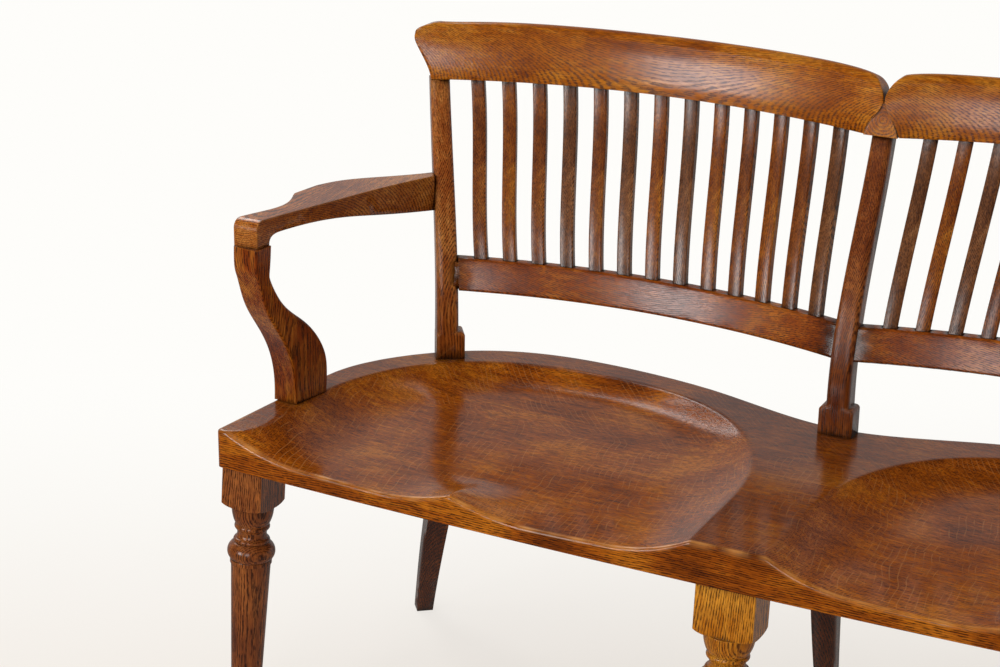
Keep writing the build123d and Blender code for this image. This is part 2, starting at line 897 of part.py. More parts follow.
feet, head = support_dowels(0)
feet_room, head_room = support_dowels(joint_clearance)
butt = arm_dowel(0)
butt_room = arm_dowel(joint_clearance)
arm_end_rise = arm_height_over_seat - arm_drop - arm_rear_height
arm_left = arm_body() - outer_place * post_zone(arm_end_rise, 0)
arm_left = arm_left.solids().sort_by(SortBy.VOLUME)[-1] - head_room - butt_room
support_left = arm_support() - head_room
for room in feet_room:
    support_left -= room
outer_post -= butt_room

# The hollows are cut first, then the holes from below and above, then the boards
slab = seat_slab()
cutter = hollow_cutter()
slab = slab - cutter - mirrored(cutter)
seat_holes = [hole_left, mirrored(hole_left), hole_centre]
seat_holes += [rear_hole_left, mirrored(rear_hole_left), rear_hole_centre]
seat_holes += [outer_place * room_foot, mirrored(outer_place * room_foot), centre_place * room_foot]
seat_holes += feet_room + [mirrored(room) for room in feet_room]
seat_holes += tongue_grooves()
for hole in seat_holes:
    slab -= hole
front_board, middle_board, rear_board = seat_boards(slab)

pieces["seat_board_front"] = front_board
pieces["seat_board_middle"] = middle_board
pieces["seat_board_rear"] = rear_board
pieces["seat_tongues"] = Compound(board_tongues())
pieces["leg_front_left"] = leg_left
pieces["leg_front_centre"] = leg_centre
pieces["leg_front_right"] = mirrored(leg_left)
pieces["leg_rear_left"] = rear_left
pieces["leg_rear_centre"] = rear_centre
pieces["leg_rear_right"] = mirrored(rear_left)
pieces["post_left"] = outer_post
pieces["post_centre"] = centre_post
pieces["post_right"] = mirrored(outer_post)
pieces["rail_left"] = rail_left
pieces["rail_right"] = mirrored(rail_left)
pieces["crest_left"] = crest_left
pieces["crest_right"] = mirrored(crest_left)
pieces["crest_wedge"] = wedge
pieces["crest_peg"] = peg
pieces["arm_left"] = arm_left
pieces["arm_right"] = mirrored(arm_left)
pieces["arm_support_left"] = support_left
pieces["arm_support_right"] = mirrored(support_left)
dowels = feet + [head]
pieces["arm_support_dowels"] = Compound(dowels + [mirrored(pin) for pin in dowels])
pieces["arm_joint_dowels"] = Compound([butt, mirrored(butt)])

# The origin is on the floor under the middle of the settee's length and depth
boxes = [piece.bounding_box() for piece in pieces.values()]
middle_y = (min(box.min.Y for box in boxes) + max(box.max.Y for box in boxes)) / 2
os.makedirs("parts", exist_ok=True)
for name, piece in pieces.items():
    export_step(Pos(0, -middle_y, 0) * piece, f"parts/{name}.step")
print("origin is", round(middle_y, 3), "behind the seat's front corners")
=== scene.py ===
import bmesh
import bpy
import math
from mathutils import Matrix, Vector, noise
from mathutils.bvhtree import BVHTree


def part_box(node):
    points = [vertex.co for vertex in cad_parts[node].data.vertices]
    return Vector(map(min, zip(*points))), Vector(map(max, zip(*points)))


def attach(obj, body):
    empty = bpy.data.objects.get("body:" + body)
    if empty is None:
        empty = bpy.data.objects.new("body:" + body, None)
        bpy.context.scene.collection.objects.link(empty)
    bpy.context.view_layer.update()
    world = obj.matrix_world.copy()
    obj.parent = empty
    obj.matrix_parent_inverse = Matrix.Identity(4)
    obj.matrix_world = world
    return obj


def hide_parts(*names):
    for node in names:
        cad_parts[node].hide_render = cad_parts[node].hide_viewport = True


# A chair-back settee for two in dark stained, waxed oak. Each section below covers one
# piece or group of like pieces, in the order in which a chair maker would build them.

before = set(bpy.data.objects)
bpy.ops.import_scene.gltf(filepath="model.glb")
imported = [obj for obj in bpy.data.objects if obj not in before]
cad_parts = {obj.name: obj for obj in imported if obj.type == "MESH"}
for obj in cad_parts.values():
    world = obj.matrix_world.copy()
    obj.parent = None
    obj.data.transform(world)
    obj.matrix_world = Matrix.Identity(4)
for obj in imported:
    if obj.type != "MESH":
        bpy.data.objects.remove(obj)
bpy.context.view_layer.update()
scene = bpy.context.scene


# Camera
# A long lens on a stand at standing height, in front of the right-hand place and
# turned towards the left end of the settee.

camera_place = Vector((0.7739, -2.4132, 1.5043))
camera_right = Vector((0.89324, 0.44936, 0.01367))
camera_up = Vector((-0.16592, 0.30124, 0.939))
lens_in_frame_widths = 2.208

camera = bpy.data.objects.new("camera", bpy.data.cameras.new("camera"))
scene.collection.objects.link(camera)
camera.data.lens = lens_in_frame_widths * camera.data.sensor_width
camera.data.sensor_fit = "HORIZONTAL"
camera_back = camera_right.cross(camera_up)
turned = Matrix((camera_right, camera_up, camera_back)).transposed()
camera.matrix_world = Matrix.Translation(camera_place) @ turned.to_4x4()
scene.camera = camera


# Seat
# Three oak boards, glued edge to edge and then carved by hand into two saddle hollows.
# The oak is quarter-sawn, so pale ray flecks fan across its grain. It is stained brown,
# waxed and rubbed by use, palest along the front edge.

MM = 0.001
seat_boards = ("seat_board_front", "seat_board_middle", "seat_board_rear")
seat_low, seat_high = (Vector(corner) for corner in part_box("seat_board_front"))
half_length = seat_high.x
front_bow = 21 * MM
front_corner_y = seat_low.y + front_bow
rim_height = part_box("seat_board_rear")[1][2]
underside = seat_low.z

place_centre = half_length / 2
hollow_half_width = 304 * MM
hollow_back_reach = 309 * MM
hollow_centre_setback = 100 * MM
hollow_depth = 32 * MM
hollow_roundness = 2.4
cove_depth_back_share, cove_depth_side_share = 0.56, 0.76
cove_width_back_share, cove_width_side_share = 0.15, 0.36
cove_steepness = 2.2
flare_width, flare_start, flare_steepness = 34 * MM, 75 * MM, 4
pommel_height, pommel_offset, pommel_half_width = 19 * MM, 8 * MM, 100 * MM
pommel_fade_start, pommel_fade_end = -15 * MM, 90 * MM
pommel_sharpness = 1.8
rim_softness = 0.5 * MM
edge_round, edge_turns = 4 * MM, 5
dip_half_width, dip_slope = 200 * MM, 0.25
hand_wave, hand_wave_length = 0.5 * MM, 85 * MM
full_wave_depth = hollow_depth / 4
full_carved_depth = hollow_depth / 3
wear_from_edge, wear_half_width = 2.8 * MM, 4.4 * MM
wear_reach, wear_patch = 100 * MM, 22 * MM


def eased(share):
    """A share between 0 and 1, held to that and softened at both ends."""
    share = min(max(share, 0), 1)
    return share * share * (3 - 2 * share)


def pommel(across, back):
    """Rise of the ridge in the middle of a hollow's front edge."""
    fade = (back - pommel_fade_start) / (pommel_fade_end - pommel_fade_start)
    ridge = max(0, 1 - abs(across - pommel_offset) / pommel_half_width) ** pommel_sharpness
    return pommel_height * ridge * (1 - eased(fade))


def carved_depth(x, back):
    """How deep the nearer hollow is at a point, less than zero outside it."""
    across = abs(x) - place_centre
    half_width = hollow_half_width
    if across > 0 and back < flare_start:
        forward = min(flare_start - back, flare_start)
        half_width += flare_width * (forward / flare_start) ** flare_steepness
    x_share = abs(across) / half_width
    y_share = max(0, back - hollow_centre_setback) / hollow_back_reach
    reach = (x_share**hollow_roundness + y_share**hollow_roundness) ** (1 / hollow_roundness)
    sideways = x_share**2 / (x_share**2 + y_share**2) if reach > 0 else 1
    cove_width = cove_width_back_share + sideways * (cove_width_side_share - cove_width_back_share)
    cove_depth = cove_depth_back_share + sideways * (cove_depth_side_share - cove_depth_back_share)
    inward = 1 - reach
    if inward > 0:
        cove = 1 - (1 - min(inward / cove_width, 1)) ** cove_steepness
        bowl = 1 - reach**2
    else:
        cove = cove_steepness * inward / cove_width
        bowl = 2 * inward
    return hollow_depth * (cove_depth * cove + (1 - cove_depth) * bowl) - pommel(across, back)


def stations(length, steps):
    """Distances along a length: close together over the rounded edges, then even."""
    edge = min(edge_round, length / 4)
    quarter = math.pi / 2
    close = [edge * (1 - math.cos(quarter * turn / edge_turns)) for turn in range(edge_turns)]
    even = [edge + (length - 2 * edge) * step / steps for step in range(steps + 1)]
    return close + even + [length - mark for mark in reversed(close)]


carcass = bmesh.new()
for node in seat_boards:
    carcass.from_mesh(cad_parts[node].data)
walls = BVHTree.FromBMesh(carcass)
carcass.free()
level_of_walls = underside + 12 * MM


def outline(x, side):
    """The seat's front (-1) or rear (1) edge at x, found on the boards' walls."""
    start = Vector((x, side * half_length, level_of_walls))
    return walls.ray_cast(start, Vector((0, -side, 0)))[0].y


def rear_edge(x):
    """The rear edge, drawn as one fair curve where it dips between the two places."""
    if abs(x) > dip_half_width:
        return outline(x, 1)
    share = abs(x) / dip_half_width
    shoulder, bottom = outline(dip_half_width, 1), outline(0, 1)
    fair = bottom + (shoulder - bottom) * eased(share)
    return fair + dip_slope * dip_half_width * (share - 1) * share**2


column_steps, row_steps = 400, 128
end_inset = 0.25 * MM
width = 2 * (half_length - end_inset)
columns = [mark - width / 2 for mark in stations(width, column_steps)]
fronts = [outline(x, -1) for x in columns]
rears = [rear_edge(x) for x in columns]
rows = len(stations(1, row_steps))

plank = bmesh.new()
bmesh.ops.create_grid(plank, x_segments=len(columns) - 1, y_segments=rows - 1, size=1)
rubbed = plank.verts.layers.float.new("rubbed")
carved = plank.verts.layers.float.new("carved")
for vert in plank.verts:
    column = round((vert.co.x + 1) / 2 * (len(columns) - 1))
    row = round((vert.co.y + 1) / 2 * (rows - 1))
    x, front, rear = columns[column], fronts[column], rears[column]
    run = stations(rear - front, row_steps)[row]
    before, after = max(column - 1, 0), min(column + 1, len(columns) - 1)
    gap = columns[after] - columns[before]
    front_slope = (fronts[after] - fronts[before]) / gap
    rear_slope = (rears[after] - rears[before]) / gap
    from_front = run / math.hypot(1, front_slope)
    from_rear = (rear - front - run) / math.hypot(1, rear_slope)
    from_edge = min(from_front, from_rear)
    short = max(0, edge_round - from_edge)
    drop = edge_round - math.sqrt(edge_round**2 - short**2)
    depth = carved_depth(x, front + run - front_corner_y)
    depth = (depth + math.hypot(depth, rim_softness)) / 2
    wave = hand_wave * noise.noise(Vector((x, front + run, 0)) / hand_wave_length)
    wave *= min(depth / full_wave_depth, 1)
    vert.co = (x, front + run, rim_height - depth - drop + wave)
    vert[carved] = min(depth / full_carved_depth, 1)
    if run < wear_reach:
        patchy = 0.5 + 0.9 * noise.noise(Vector((x, run, 0)) / wear_patch)
        vert[rubbed] = patchy * max(0, 1 - abs(from_edge - wear_from_edge) / wear_half_width)

# The walls go down in two steps, so that the wear stops just below the lip
for share in (0.1, 1):
    rim = [edge for edge in plank.edges if edge.is_boundary]
    skirt = bmesh.ops.extrude_edge_only(plank, edges=rim)["geom"]
    for vert in (part for part in skirt if isinstance(part, bmesh.types.BMVert)):
        vert.co.z += share * (underside - vert.co.z)
        vert[rubbed], vert[carved] = 0, 1
bottom_edges = [edge for edge in plank.edges if edge.is_boundary]
bmesh.ops.edgeloop_fill(plank, edges=bottom_edges)
bmesh.ops.recalc_face_normals(plank, faces=plank.faces)


def linear(colour):
    """An sRGB hex colour as the linear colour that a shader takes."""
    channels = [int(colour[i : i + 2], 16) / 255 for i in (1, 3, 5)]
    bright = [c / 12.92 if c <= 0.04045 else ((c + 0.055) / 1.055) ** 2.4 for c in channels]
    return (*bright, 1)


def add(tree, kind, inputs=(), **settings):
    """A new shader node, its inputs given by name or in order.

    Each input is a number, a hex colour, a node or an output socket.
    """
    node = tree.nodes.new("ShaderNode" + kind)
    for name, value in settings.items():
        setattr(node, name, value)
    if isinstance(inputs, dict):
        pairs = [(node.inputs[name], value) for name, value in inputs.items()]
    else:
        pairs = zip([socket for socket in node.inputs if socket.enabled], inputs)
    for socket, value in pairs:
        if isinstance(value, bpy.types.Node):
            value = next(output for output in value.outputs if output.enabled)
        if isinstance(value, bpy.types.NodeSocket):
            tree.links.new(value, socket)
        else:
            socket.default_value = linear(value) if isinstance(value, str) else value
    return node


# Sizes of what shows in the oak: dark pores in short dashes, year lines, stain that took
# in clouds and streaks, old wax and dirt at the ends, and painted shade in the corners.
# Real pores are about 0.3 mm wide and 3 mm long, too fine to show from here, so they
# are drawn four times as coarse.
pore_length, pore_width = 12 * MM, 1.3 * MM
ragged_length, ragged_width = 14 * MM, 2.4 * MM
grain_drift = 220 * MM
stain_cloud = 110 * MM
streak_length, streak_width = 90 * MM, 6 * MM
grime_reach, grime_spread, grime_patch = 46 * MM, 50 * MM, 14 * MM
corner_reach = 14 * MM
relief_depth = 0.1 * MM
# The second colour is painted shade, laid into the corners where two pieces meet
grime, corner_shade_colour = "#1A0B04", "#170A04"

# Only the seat shows these: its boards, and pale rays some 9 mm apart in loose patches
seat_joints = (front_corner_y + 142 * MM, front_corner_y + 302 * MM)
board_shift = (310 * MM, 0, 23 * MM)
fleck_gap, fleck_patch = 9 * MM, 34 * MM
fleck_slant, fleck_bend = 0.55, 0.4
fleck_wave, fleck_wave_length = 26 * MM, 70 * MM
# shaded_colour is painted shade for the flat wood outside the hollows
fleck_colour, worn_colour, shaded_colour = "#A8713C", "#B4783C", "#2E1205"


def along_grain(length, width):
    """The scale of a pattern whose marks are this long with the grain and wide across it."""
    return (1 / length, 1 / width, 1 / width)


def waxed_oak(
    name,
    centre,
    turn,
    heart,
    ring,
    stain,
    wander=10 * MM,
    ends=None,
    edge=1.5 * MM,
    gloss=0.15,
    seat=False,
):
    """Stained and waxed oak, its pores and year rings darker than the wood between.

    The grain runs along local X after turn. heart is where the middle of the log lay
    from the centre and ring the width of a year ring, so lines run out on curved faces
    as they do on sawn ones. stain is the colour in the pores, then three of the wood,
    dark to light. wander is how far the grain strays and edge how far a corner is worn.
    ends is the half-length of a piece whose ends are dark with old wax and dirt. seat
    adds the boards, the ray flecks, painted shade on the flat wood and the rubbed front edge.
    """
    in_pores, dark, middling, light = stain
    material = bpy.data.materials.new(name)
    material.use_nodes = True
    tree = material.node_tree
    tree.nodes.clear()
    spot = add(tree, "TexCoord").outputs["Object"]
    local = add(tree, "Mapping", [spot, centre, turn], vector_type="TEXTURE")
    if seat:
        # Each board comes from another part of the log
        back = add(tree, "SeparateXYZ", [local]).outputs["Y"]
        boards = [
            add(tree, "Math", [back, joint - centre[1]], operation="GREATER_THAN")
            for joint in seat_joints
        ]
        board = add(tree, "Math", boards, operation="ADD")
        local = add(tree, "VectorMath", [board, board_shift, local], operation="MULTIPLY_ADD")

    # The grain wanders by a few millimetres along the board
    drift = add(tree, "TexNoise", [local, 1 / grain_drift, 1.0]).outputs["Color"]
    sway = [drift, (0.0, wander, wander), local]
    grain = add(tree, "VectorMath", sway, operation="MULTIPLY_ADD")

    # Year rings are cylinders about the heart of the log, broken into short pores
    rays = add(tree, "VectorMath", [grain, heart], operation="SUBTRACT")
    rays = add(tree, "VectorMath", [rays, (0, 1, 1)], operation="MULTIPLY")
    radius = add(tree, "VectorMath", [rays], operation="LENGTH").outputs["Value"]
    ragged = {"Vector": grain, "Scale": along_grain(ragged_length, ragged_width)}
    ragged = add(tree, "TexNoise", [add(tree, "Mapping", ragged), 1.0, 1.0])
    radius = add(tree, "Math", [ragged, ring * 0.7, radius], operation="MULTIPLY_ADD")
    year = add(tree, "Math", [radius, ring], operation="DIVIDE")
    year = add(tree, "Math", [year, 0.5], operation="PINGPONG")
    early = [year, 0.20, 0.38, 0.0, 1.0]
    early = add(tree, "MapRange", early, interpolation_type="SMOOTHSTEP")
    pores = {"Vector": grain, "Scale": along_grain(pore_length, pore_width)}
    pores = add(tree, "TexNoise", [add(tree, "Mapping", pores), 1.0, 2.0, 0.6])
    pores = [pores, 0.45, 0.55, 0.0, 1.0]
    pores = add(tree, "MapRange", pores, interpolation_type="SMOOTHSTEP")
    open_pores = add(tree, "Math", [early, 0.65, 0.35], operation="MULTIPLY_ADD")
    lines = add(tree, "Math", [pores, open_pores], operation="MULTIPLY")
    lines = [early, 0.4, lines]
    lines = add(tree, "Math", lines, operation="MULTIPLY_ADD", use_clamp=True)

    # Stain takes unevenly: broad clouds, and streaks along the grain
    clouds = add(tree, "TexNoise", [grain, 1 / stain_cloud, 3.0, 0.55])
    streaks = {"Vector": grain, "Scale": along_grain(streak_length, streak_width)}
    streaks = add(tree, "TexNoise", [add(tree, "Mapping", streaks), 1.0, 3.0, 0.6])
    taken = add(tree, "Math", [streaks, 0.7, -0.35], operation="MULTIPLY_ADD")
    taken = add(tree, "Math", [clouds, 1.0, taken], operation="MULTIPLY_ADD")
    tone = add(tree, "ValToRGB", [taken])
    elements = tone.color_ramp.elements
    elements[0].position, elements[0].color = 0.26, linear(dark)
    elements[1].position, elements[1].color = 0.74, linear(light)
    elements.new(0.50).color = linear(middling)
    share = add(tree, "Math", [lines, 0.85], operation="MULTIPLY")
    colour = add(tree, "Mix", [share, tone, in_pores], data_type="RGBA")

    if seat:
        # Ray flecks: thin pale curved lines fanned about the middle of the seat
        plan = add(tree, "Mapping", [spot, centre], vector_type="TEXTURE")
        plan = add(tree, "SeparateXYZ", [plan])
        aside = add(tree, "Math", [plan.outputs["Y"]], operation="ABSOLUTE")
        lean = [plan.outputs["Y"], fleck_slant, plan.outputs["X"]]
        lean = add(tree, "Math", lean, operation="MULTIPLY_ADD")
        lean = add(tree, "Math", [aside, fleck_bend, lean], operation="MULTIPLY_ADD")
        wavy = add(tree, "TexNoise", [grain, 1 / fleck_wave_length, 1.0])
        along = add(tree, "Math", [wavy, fleck_wave, lean], operation="MULTIPLY_ADD")
        beat = add(tree, "Math", [along, 1 / fleck_gap], operation="MULTIPLY")
        beat = add(tree, "Math", [beat, 0.5], operation="PINGPONG")
        thin = [beat, 0.0, 0.10, 1.0, 0.0]
        thin = add(tree, "MapRange", thin, interpolation_type="SMOOTHSTEP")
        patches = add(tree, "TexNoise", [grain, 1 / fleck_patch, 2.0])
        patches = [patches, 0.42, 0.62, 0.0, 0.42]
        patches = add(tree, "MapRange", patches, interpolation_type="SMOOTHSTEP")
        upward = add(tree, "NewGeometry").outputs["Normal"]
        upward = add(tree, "SeparateXYZ", [upward]).outputs["Z"]
        upward = add(tree, "MapRange", [upward, 0.5, 0.8, 0.0, 1.0])
        patches = add(tree, "Math", [patches, upward], operation="MULTIPLY")
        share = add(tree, "Math", [thin, patches], operation="MULTIPLY")
        colour = add(tree, "Mix", [share, colour, fleck_colour], data_type="RGBA")

        # The flat wood outside the hollows is painted darker as shade, and the front lip is rubbed
        # pale
        carved = add(tree, "Attribute", attribute_name="carved").outputs["Fac"]
        shaded = [carved, 0.0, 0.3, 0.3, 0.0]
        shaded = add(tree, "MapRange", shaded, interpolation_type="SMOOTHSTEP")
        colour = add(tree, "Mix", [shaded, colour, shaded_colour], data_type="RGBA")
        rubbed = add(tree, "Attribute", attribute_name="rubbed").outputs["Fac"]
        colour = add(tree, "Mix", [rubbed, colour, worn_colour], data_type="RGBA")
    else:
        # Corners are rubbed paler
        true = add(tree, "NewGeometry").outputs["Normal"]
        bent = add(tree, "Bevel", [edge], samples=4)
        square = add(tree, "VectorMath", [true, bent], operation="DOT_PRODUCT")
        rubbed = [square.outputs["Value"], 0.99, 0.86, 0.0, 0.5]
        rubbed = add(tree, "MapRange", rubbed, interpolation_type="SMOOTHSTEP")
        colour = add(tree, "Mix", [rubbed, colour, light], data_type="RGBA")

    if ends:
        # Grime that a cloth never reaches, thickest at the joints
        along = add(tree, "SeparateXYZ", [local]).outputs["X"]
        along = add(tree, "Math", [along], operation="ABSOLUTE")
        smudge = add(tree, "TexNoise", [grain, 1 / grime_patch, 2.0])
        smudge = add(tree, "Math", [smudge, grime_spread, along], operation="MULTIPLY_ADD")
        dirty = [smudge, ends, ends + grime_reach, 0.0, 0.85]
        dirty = add(tree, "MapRange", dirty, interpolation_type="SMOOTHSTEP")
        colour = add(tree, "Mix", [dirty, colour, grime], data_type="RGBA")

    # Painted shade: ambient occlusion darkens every corner where two pieces meet
    corner = add(tree, "AmbientOcclusion", {"Distance": corner_reach}, samples=6)
    corner = [corner.outputs["AO"], 0.35, 0.85, 0.8, 0.0]
    corner = add(tree, "MapRange", corner, interpolation_type="SMOOTHSTEP")
    colour = add(tree, "Mix", [corner, colour, corner_shade_colour], data_type="RGBA")

    # Wax fills the pores nearly level and gives a soft sheen, duller over the pores
    rough = add(tree, "MapRange", [lines, 0.0, 1.0, gloss, gloss + 0.1])
    relief = add(tree, "Math", [lines, -1.0, clouds], operation="MULTIPLY_ADD")
    soft = add(tree, "Bevel", [edge], samples=4)
    bump = {"Strength": 0.3, "Distance": relief_depth, "Height": relief, "Normal": soft}
    bump = add(tree, "Bump", bump)
    surface = {"Base Color": colour, "Roughness": rough, "IOR": 1.5, "Normal": bump}
    shader = add(tree, "BsdfPrincipled", surface)
    add(tree, "OutputMaterial", {"Surface": shader})
    return material


def placed(name, shape, material, *nodes):
    """A finished mesh shown in place of its CAD nodes."""
    mesh = bpy.data.meshes.new(name)
    shape.to_mesh(mesh)
    shape.free()
    mesh.shade_smooth()
    mesh.materials.append(material)
    piece = bpy.data.objects.new(name, mesh)
    scene.collection.objects.link(piece)
    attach(piece, "root")
    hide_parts(*nodes)
    return piece


seat_stain = ("#1A0601", "#6A2F06", "#934809", "#B46714")
seat_middle = (0, front_corner_y + 265 * MM, rim_height)
seat_heart = (0, -0.35, -0.12)
unturned = (0, 0, 0)
seat_oak = waxed_oak(
    "quarter_sawn_oak",
    seat_middle,
    unturned,
    seat_heart,
    2.2 * MM,
    seat_stain,
    gloss=0.11,
    seat=True,
)
seat = placed("carved_seat", plank, seat_oak, *seat_boards)
seat.data.set_sharp_from_angle(angle=math.radians(40))


# Front legs
# Each is turned from one square of oak: a block is left under the seat, with a cup, a
# ball and a tapered shaft below it, and a round tenon is wedged into the seat. The
# stain on the centre leg is worn to a golden brown.


def middle(node):
    """The middle of a CAD node's box."""
    low, high = (Vector(corner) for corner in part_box(node))
    return (low + high) / 2


def smoothed(node):
    """A CAD node's mesh with its doubles merged, for smooth shading."""
    shape = bmesh.new()
    shape.from_mesh(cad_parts[node].data)
    bmesh.ops.remove_doubles(shape, verts=shape.verts, dist=0.01 * MM)
    return shape


def finished(node, name, material, fold=32, shape=None):
    """A CAD node, or a reshaped copy, shown smooth with its flat faces flat.

    fold is the angle in degrees past which an edge stays sharp.
    """
    piece = placed(name, shape or smoothed(node), material, node)
    piece.data.set_sharp_from_angle(angle=math.radians(fold))
    flat = piece.modifiers.new("flat faces", "WEIGHTED_NORMAL")
    flat.keep_sharp = True
    return piece


upright = (0, math.radians(-90), 0)
leg_heart = (0, 0.05, 0.08)
leg_stain = ("#1F0B03", "#532612", "#793F1B", "#9C5A28")
golden_stain = ("#3A1803", "#82440A", "#AF6710", "#CD8A28")
for side, stain in (("left", leg_stain), ("centre", golden_stain), ("right", leg_stain)):
    node = f"leg_front_{side}"
    oak = waxed_oak(f"turned_oak_{side}", middle(node), upright, leg_heart, 2.2 * MM, stain)
    finished(node, f"front_leg_{side}", oak, fold=13)


# Rear legs
# Plain square legs of oak, sawn with a sweep to the back, tapered and tenoned into the
# seat from below. Their stain is painted darker than the rest, both for the shade under
# the seat and because nobody rubs them.

rear_heart = (0, 0.04, 0.03)
# Painted shade: a darker stain stands for the shade under the seat
shaded_stain = ("#1A0802", "#3A1706", "#54260B", "#713C15")
for side in ("left", "centre", "right"):
    node = f"leg_rear_{side}"
    place = middle(node)
    oak = waxed_oak(f"rear_leg_oak_{side}", place, upright, rear_heart, 2.4 * MM, shaded_stain)
    finished(node, f"rear_leg_{side}", oak)


# Back posts
# Oak posts bent to an S, rounded in front and shouldered at the foot, where they are
# tenoned into the seat. Dirt lies at the joints, and the centre one takes a darker stain.

post_heart = (0, 0.02, 0.09)
post_tenons = 22 * MM
post_round = 7 * MM
post_stain = ("#300F03", "#75330F", "#9B521C", "#BC7836")
darker_post_stain = ("#230A02", "#56220A", "#7A3C14", "#9C5A28")
for side, stain in (("left", post_stain), ("centre", darker_post_stain), ("right", post_stain)):
    node = f"post_{side}"
    low, high = (Vector(corner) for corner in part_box(node))
    oak = waxed_oak(
        f"bent_oak_{side}",
        middle(node),
        upright,
        post_heart,
        2.0 * MM,
        stain,
        ends=(high.z - low.z) / 2 - post_tenons,
        edge=post_round,
    )
    finished(node, f"bent_post_{side}", oak)


# Lower rails
# Oak rails sawn to the bow of each back and tenoned into the posts, with mortises for
# the slats along the top. Their ends are black with dirt.

rail_heart = (0, -0.16, -0.06)
rail_tenons = 24 * MM
rail_stain = ("#240B02", "#6A2A06", "#90440C", "#B2661E")
for side in ("left", "right"):
    node = f"rail_{side}"
    low, high = (Vector(corner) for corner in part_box(node))
    oak = waxed_oak(
        f"bowed_oak_{side}",
        middle(node),
        unturned,
        rail_heart,
        1.5 * MM,
        rail_stain,
        ends=(high.x - low.x) / 2 - rail_tenons,
    )
    finished(node, f"lower_rail_{side}", oak)


# Crest rails and their wedge
# Sawn from thick oak planks to the bow of each back, so the year rings run out at their
# faces in nested arches. They sit on the outer posts, and a wedge of end grain fills the
# gap over the centre post.

ear_cuts = [6 * MM * step for step in range(1, 16)]
shoulder_drop, shoulder_run, long_run = 10 * MM, 24 * MM, 90 * MM
outer_drop, outer_run = 5.3 * MM, 35 * MM


def eared_crest(node, long_drop):
    """A crest copy whose top edge is shaved down in one fair line to both ears."""
    low, high = (Vector(corner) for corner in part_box(node))
    inner, outer = sorted((low.x, high.x), key=abs)
    shape = smoothed(node)
    for end, way in ((inner, outer - inner), (outer, inner - outer)):
        for cut in ear_cuts:
            place = (end + math.copysign(cut, way), 0, 0)
            parts = shape.verts[:] + shape.edges[:] + shape.faces[:]
            bmesh.ops.bisect_plane(shape, geom=parts, plane_co=place, plane_no=(1, 0, 0))
    for vert in shape.verts:
        from_inner, from_outer = abs(vert.co.x - inner), abs(vert.co.x - outer)
        drop = shoulder_drop * math.exp(-from_inner / shoulder_run)
        drop += long_drop * math.exp(-from_inner / long_run)
        drop += outer_drop * from_outer / outer_run * math.exp(1 - from_outer / outer_run)
        # Nothing moves in the lowest tenth, and the top edge moves by all of the drop
        vert.co.z -= drop * eased((vert.co.z - low.z) / (high.z - low.z) * 1.2 - 0.1)
    return shape


crest_heart = (0, -0.25, -0.035)
crest_stain = ("#3A1503", "#7E3B06", "#A25709", "#C07A22")
for side, long_drop in (("left", 6 * MM), ("right", 1 * MM)):
    node = f"crest_{side}"
    oak = waxed_oak(
        f"crest_oak_{side}",
        middle(node),
        unturned,
        crest_heart,
        1.3 * MM,
        crest_stain,
        wander=4 * MM,
        gloss=0.12,
    )
    finished(node, f"crest_{side}_shaved", oak, shape=eared_crest(node, long_drop))

front_to_back = (0, 0, math.radians(90))
wedge_oak = waxed_oak(
    "end_grain_oak",
    middle("crest_wedge"),
    front_to_back,
    (0, 0, 0),
    4.5 * MM,
    crest_stain,
    wander=2 * MM,
)
finished("crest_wedge", "crest_gap_wedge", wedge_oak)


# Slats
# Thirteen shaved oak strips in each back, let into the rail and the crest. No two took
# the stain alike, and all are dark where they enter the rails.

slat_tenons = 8 * MM
slat_stains = (
    ("#240D04", "#5C2A0C", "#874818", "#AC6C2C"),
    ("#2A0E03", "#6A2F0A", "#945012", "#B87626"),
    ("#200E07", "#553019", "#7C4C2A", "#A27046"),
)
slats = sorted(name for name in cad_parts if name.startswith("slat_"))
for index, node in enumerate(slats):
    low, high = (Vector(corner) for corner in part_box(node))
    lean, twist = 1.5 * (index % 3 - 1), 4 * (index % 4 - 1.5)
    oak = waxed_oak(
        f"slat_oak_{index + 1:02d}",
        middle(node),
        (0, math.radians(lean - 90), math.radians(twist)),
        (0, 0.03 + 0.01 * (index % 4), (0.11, -0.08, 0.14)[index % 3]),
        1.7 * MM,
        slat_stains[index * 5 // 3 % 3],
        wander=5 * MM,
        ends=(high.z - low.z) / 2 - slat_tenons,
    )
    finished(node, node + "_shaved", oak)


# Arms and supports
# Each arm is shaped from one thick blank of oak and dowelled to its post and to a curved
# support, which is sawn from a board and stands on two dowels in the seat.

arm_heart, support_heart = (0, 0.06, -0.03), (0, 0.02, 0.06)
arm_splay = 12
arm_stain = ("#2E1104", "#6E310B", "#985016", "#BC7630")
support_stain = ("#240702", "#541903", "#7E3607", "#AC6520")
for side, sign in (("left", -1), ("right", 1)):
    node = f"arm_{side}"
    oak = waxed_oak(
        f"arm_oak_{side}",
        middle(node),
        (0, 0, math.radians(90 - arm_splay * sign)),
        arm_heart,
        2.2 * MM,
        arm_stain,
        edge=4 * MM,
    )
    finished(node, f"arm_{side}_shaped", oak)
    node = f"arm_support_{side}"
    oak = waxed_oak(
        f"support_oak_{side}",
        middle(node),
        upright,
        support_heart,
        2.2 * MM,
        support_stain,
        edge=2 * MM,
    )
    finished(node, f"arm_support_{side}_shaped", oak)


# Hidden joinery
# Tongues, dowels and the peg are shaped from clean oak and glued inside the joints. The
# wood never saw stain or wax, so it is pale and dry, with no shine.

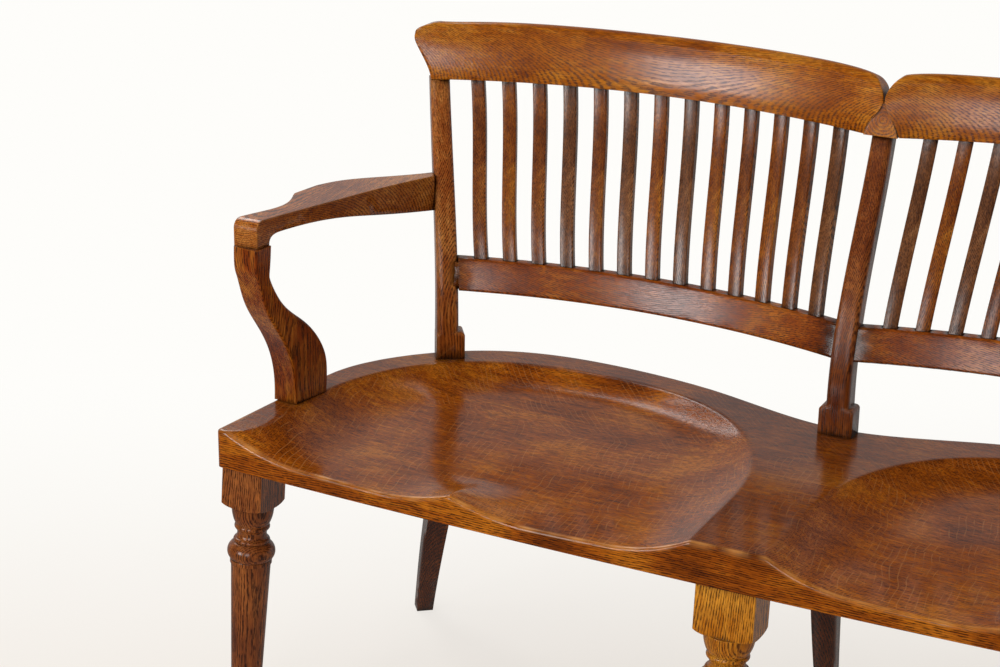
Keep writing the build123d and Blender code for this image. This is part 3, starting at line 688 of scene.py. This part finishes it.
bare_heart = (0, 0.05, 0.05)
bare_stain = ("#7A5836", "#A98255", "#BF9A6B", "#D0AE80")
bare_oak = waxed_oak(
    "bare_oak", (0, 0, 0), unturned, bare_heart, 2.4 * MM, bare_stain, gloss=0.55
)
for node in ("seat_tongues", "arm_support_dowels", "arm_joint_dowels", "crest_peg"):
    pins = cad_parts[node].data
    pins.materials.clear()
    pins.materials.append(bare_oak)


# Studio
# A matt paper floor that fades to white with distance, two tall soft lights in front, a
# broad one overhead and one behind the left end, and a surround that is white at the
# back and dim in front, so that the wax shines in a few soft patches.

floor_reach = 30
sheet = bmesh.new()
bmesh.ops.create_grid(sheet, x_segments=1, y_segments=1, size=floor_reach)
floor = bpy.data.objects.new("floor", bpy.data.meshes.new("floor"))
sheet.to_mesh(floor.data)
sheet.free()
scene.collection.objects.link(floor)

# Matt paper: no shine of its own, warm near the settee and white far behind it
paper_near, paper_far = "#E4DBD1", "#FEFDFA"
paper = bpy.data.materials.new("matt_paper")
paper.use_nodes = True
tree = paper.node_tree
tree.nodes.clear()
spot = add(tree, "SeparateXYZ", [add(tree, "TexCoord").outputs["Object"]])
away = [spot.outputs["X"], -0.55, spot.outputs["Y"]]
away = add(tree, "Math", away, operation="MULTIPLY_ADD")
fade = [away, -0.9, 1.6, 0.0, 1.0]
fade = add(tree, "MapRange", fade, interpolation_type="SMOOTHSTEP")
tint = add(tree, "Mix", [fade, paper_near, paper_far], data_type="RGBA")
matt = add(tree, "BsdfDiffuse", [tint])
path = add(tree, "LightPath")
near = [spot.outputs["Y"], -1.2, 0.8, 0.04, 0.4]
near = add(tree, "MapRange", near, interpolation_type="SMOOTHSTEP")
seen = add(tree, "Math", [near, path.outputs["Is Camera Ray"]], operation="MAXIMUM")
glow = add(tree, "Emission", [tint, seen])
share = [away, -0.6, 1.6, 0.7, 1.0]
share = add(tree, "MapRange", share, interpolation_type="SMOOTHSTEP")
share = add(tree, "Math", [share, path.outputs["Is Camera Ray"]], operation="MULTIPLY")
share = add(tree, "Math", [share, path.outputs["Is Glossy Ray"]], operation="MAXIMUM")
mixed = add(tree, "MixShader", [share, matt, glow])
add(tree, "OutputMaterial", {"Surface": mixed})
floor.data.materials.append(paper)

surround = bpy.data.worlds.new("surround")
scene.world = surround
surround.use_nodes = True
tree = surround.node_tree
tree.nodes.clear()
path = add(tree, "LightPath")
facing = add(tree, "SeparateXYZ", [add(tree, "TexCoord").outputs["Generated"]])
back = [facing.outputs["Y"], -0.3, 0.5, 0.03, 0.45]
back = add(tree, "MapRange", back, interpolation_type="SMOOTHSTEP")
low = [facing.outputs["Z"], 0.4, 0.75, 1.0, 0.12]
low = add(tree, "MapRange", low, interpolation_type="SMOOTHSTEP")
back = add(tree, "Math", [back, low], operation="MULTIPLY")
shine = add(tree, "Mix", [path.outputs["Is Glossy Ray"], 0.5, back], data_type="FLOAT")
seen = [path.outputs["Is Camera Ray"], path.outputs["Is Transmission Ray"]]
seen = add(tree, "Math", seen, operation="MAXIMUM")
strength = add(tree, "Math", [seen, shine], operation="MAXIMUM")
light = add(tree, "Background", {"Color": "#FFFFFF", "Strength": strength})
add(tree, "OutputWorld", {"Surface": light})


def soft_light(name, place, target, width, height, watts):
    """A soft box aimed at a point."""
    lamp = bpy.data.lights.new(name, "AREA")
    lamp.shape = "RECTANGLE"
    lamp.size, lamp.size_y = width, height
    lamp.energy = watts
    box = bpy.data.objects.new(name, lamp)
    box.location = place
    box.rotation_euler = (Vector(target) - Vector(place)).to_track_quat("-Z", "Y").to_euler()
    scene.collection.objects.link(box)
    return box


soft_light("window_left", (-2.0, -3.5, 1.2), (-0.3, 0.2, 0.7), 0.8, 1.5, 34)
soft_light("window_front", (0.15, -3.9, 1.2), (-0.1, 0.2, 0.7), 0.9, 1.5, 22)
overhead = soft_light("overhead", (-1.0, -1.7, 3.2), (0, 0, 0.5), 2.4, 1.6, 50)
overhead.visible_glossy = False
soft_light("key", (-2.4, 1.2, 2.6), (0, 0, 0.4), 1.6, 1.6, 40)

scene.view_settings.view_transform = "Standard"
